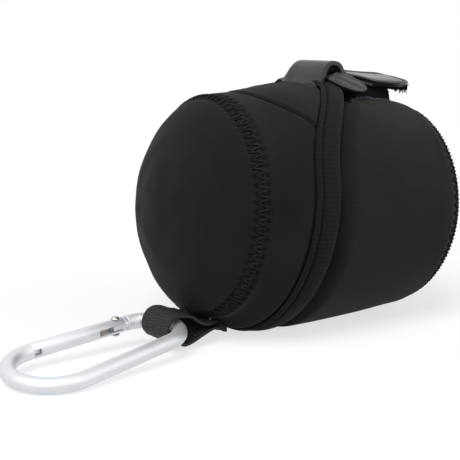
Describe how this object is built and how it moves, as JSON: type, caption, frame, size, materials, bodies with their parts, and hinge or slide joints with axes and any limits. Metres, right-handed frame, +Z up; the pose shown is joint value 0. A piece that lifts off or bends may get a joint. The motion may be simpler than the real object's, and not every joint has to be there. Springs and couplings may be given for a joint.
{
  "type": "lens pouch",
  "caption": "Round padded neoprene lens pouch with a flip-open lid, a leatherette closing tab and a spring carabiner on a webbing loop.",
  "frame": {"origin": "on the surface the pouch rests on, under the middle of the bounding box", "axes": "+X from the carabiner and lid towards the body's end, +Y away from the pull tongue, +Z up"},
  "size_m": [0.1914, 0.0986, 0.1017],
  "materials": {
    "neoprene_cloth": "matt black jersey over neoprene foam",
    "binding_tape": "fine ribbed elastic binding tape",
    "black_thread": "black polyester thread",
    "leatherette": "smooth satin coated leatherette",
    "hook_and_loop": "black hook and loop tape",
    "webbing": "black woven polyester webbing",
    "anodised_aluminium": "satin clear anodised",
    "steel": "plain steel rivet, pin and spring"
  },
  "bodies": {
    "pouch_body": {"body_wall": "neoprene_cloth", "body_end_panel": "neoprene_cloth", "body_seam_thread": "black_thread", "body_mouth_binding": "binding_tape", "loop_patch": "hook_and_loop", "loop_patch_stitch_near": "black_thread", "loop_patch_stitch_far": "black_thread", "hinge_tape": "binding_tape"},
    "lid": {"lid_band": "neoprene_cloth", "lid_end_panel": "neoprene_cloth", "lid_seam_thread": "black_thread", "lid_top_gusset": "neoprene_cloth", "gusset_stitch_near": "black_thread", "gusset_stitch_far": "black_thread", "lid_rim_binding": "binding_tape", "lid_rim_stitch": "black_thread", "strap_loop": "leatherette", "pull_tongue_root": "leatherette", "webbing_root": "webbing", "webbing_bartack": "black_thread"},
    "closure_tab": {"closure_tab": "leatherette", "tab_stitch": "black_thread", "hook_strip": "hook_and_loop"},
    "pull_tongue": {"pull_tongue": "leatherette"},
    "webbing_loop": {"webbing_loop": "webbing"},
    "carabiner": {"carabiner_frame": "anodised_aluminium", "gate_rivet": "steel", "nose_pin": "steel"},
    "gate": {"gate_tube": "anodised_aluminium", "gate_spring": "steel"}
  },
  "joints": [
    {"name": "lid_hinge", "type": "hinge", "parent": "pouch_body", "child": "lid", "pos_m": [0.01294, 0, 0.00048], "axis": [0, -1, 0], "range_deg": [0, 100]},
    {"name": "tab_peel", "type": "hinge", "parent": "lid", "child": "closure_tab", "pos_m": [0.05065, 0, 0.09705], "axis": [0, -1, 0], "range_deg": [0, 90]},
    {"name": "tongue_lift", "type": "hinge", "parent": "lid", "child": "pull_tongue", "pos_m": [0.04376, -0.01127, 0.09654], "axis": [-0.8991, -0.2675, -0.3464], "range_deg": [0, 40]},
    {"name": "webbing_swing", "type": "hinge", "parent": "lid", "child": "webbing_loop", "pos_m": [-0.00756, -0.00738, 0.00314], "axis": [-0.2164, 0.9763, 0], "range_deg": [-90, 0]},
    {"name": "carabiner_swing", "type": "hinge", "parent": "webbing_loop", "child": "carabiner", "pos_m": [-0.02948, -0.01224, 0.00894], "axis": [-0.2232, 0.9704, 0.092], "range_deg": [-35, 35]},
    {"name": "gate_hinge", "type": "hinge", "parent": "carabiner", "child": "gate", "pos_m": [-0.04623, -0.0034, 0.00885], "axis": [-0.063, -0.1086, 0.9921], "range_deg": [0, 25], "stiffness_Nm_per_rad": 0.05, "springref_deg": -11.46}
  ]
}
